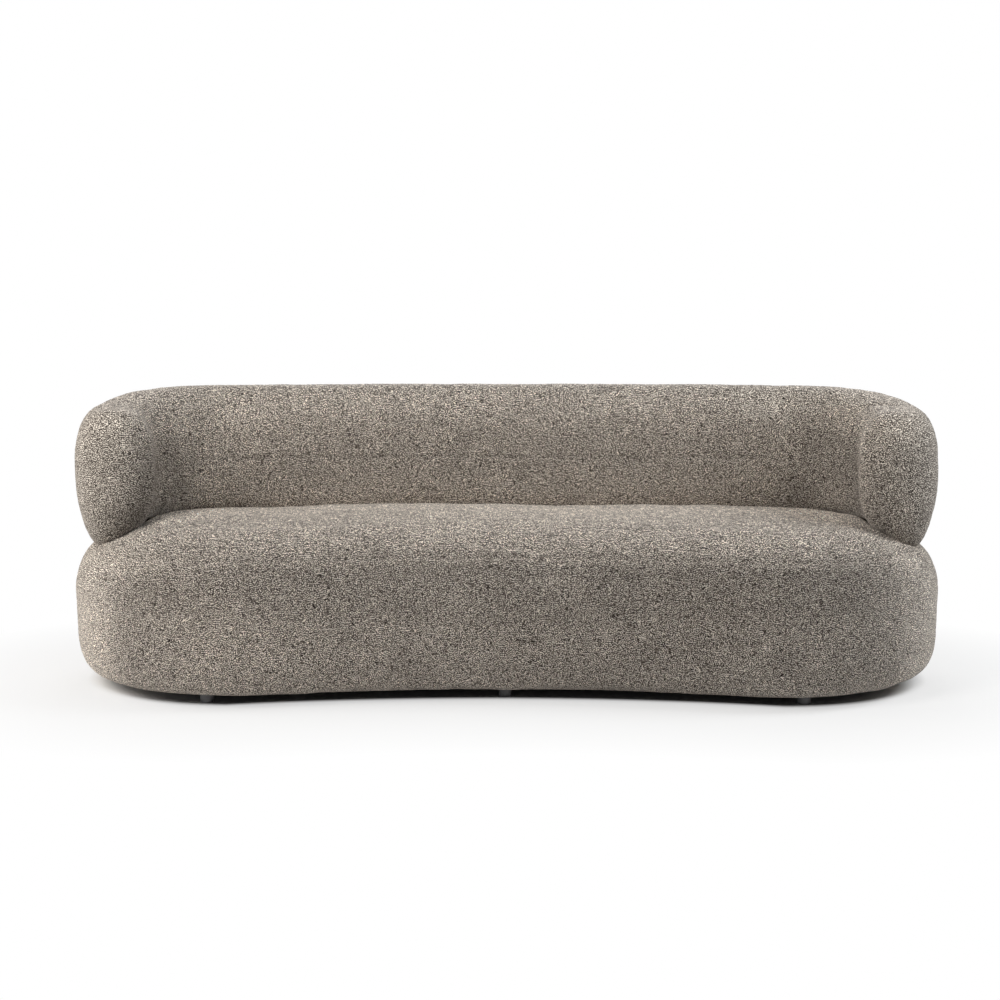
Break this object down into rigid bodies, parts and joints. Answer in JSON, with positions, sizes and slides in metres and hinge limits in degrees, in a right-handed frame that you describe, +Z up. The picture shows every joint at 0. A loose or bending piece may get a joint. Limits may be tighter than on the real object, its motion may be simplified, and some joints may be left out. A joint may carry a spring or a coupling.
{
  "type": "curved sofa",
  "caption": "Curved upholstered sofa: bean-shaped seat with rolled edges, low wrap-around back that ends in rounded wings, and small round feet under a recessed base.",
  "frame": {"origin": "on the floor, under the middle of the bounding box", "axes": "+X along the sofa, to the right seen from the front; the front faces -Y; +Z up"},
  "size_m": [2.4, 0.965, 0.802],
  "materials": {
    "fabric": "matte",
    "foam": "matte",
    "felt": "matte",
    "webbing": "matte",
    "dust_cloth": "matte",
    "plywood": "matte",
    "timber": "matte",
    "hardboard": "matte",
    "foot": "satin",
    "steel": "satin"
  },
  "bodies": {
    "root": {"seat_cover": "fabric", "back_cover": "fabric", "seat_foam": "foam", "edge_foam": "foam", "back_foam": "foam", "back_top_foam": "foam", "seat_felt": "felt", "long_web_front": "webbing", "long_web_rear": "webbing", "back_web_lower": "webbing", "back_web_upper": "webbing", "deck_ring": "plywood", "base_ring": "plywood", "side_lining": "hardboard", "bulkhead_left": "plywood", "bulkhead_middle": "plywood", "bulkhead_right": "plywood", "dust_cover": "dust_cloth", "back_lower_rail": "plywood", "back_upper_rail": "plywood", "back_lining": "hardboard", "seat_web_1": "webbing", "seat_web_2": "webbing", "seat_web_3": "webbing", "seat_web_4": "webbing", "seat_web_5": "webbing", "seat_web_6": "webbing", "seat_web_7": "webbing", "post_1": "timber", "post_2": "timber", "post_3": "timber", "post_4": "timber", "post_5": "timber", "post_6": "timber", "back_rib_1": "plywood", "back_rib_2": "plywood", "back_rib_3": "plywood", "back_rib_4": "plywood", "back_rib_5": "plywood", "back_rib_6": "plywood", "back_rib_7": "plywood", "back_spacer_1": "steel", "back_spacer_2": "steel", "back_spacer_3": "steel", "back_spacer_4": "steel", "back_spacer_5": "steel", "back_spacer_6": "steel", "back_bolt_1": "steel", "back_bolt_2": "steel", "back_bolt_3": "steel", "back_bolt_4": "steel", "back_bolt_5": "steel", "back_bolt_6": "steel", "foot_front_left": "foot", "foot_front_middle": "foot", "foot_front_right": "foot", "foot_rear_left": "foot", "foot_rear_middle": "foot", "foot_rear_right": "foot"}
  },
  "joints": []
}
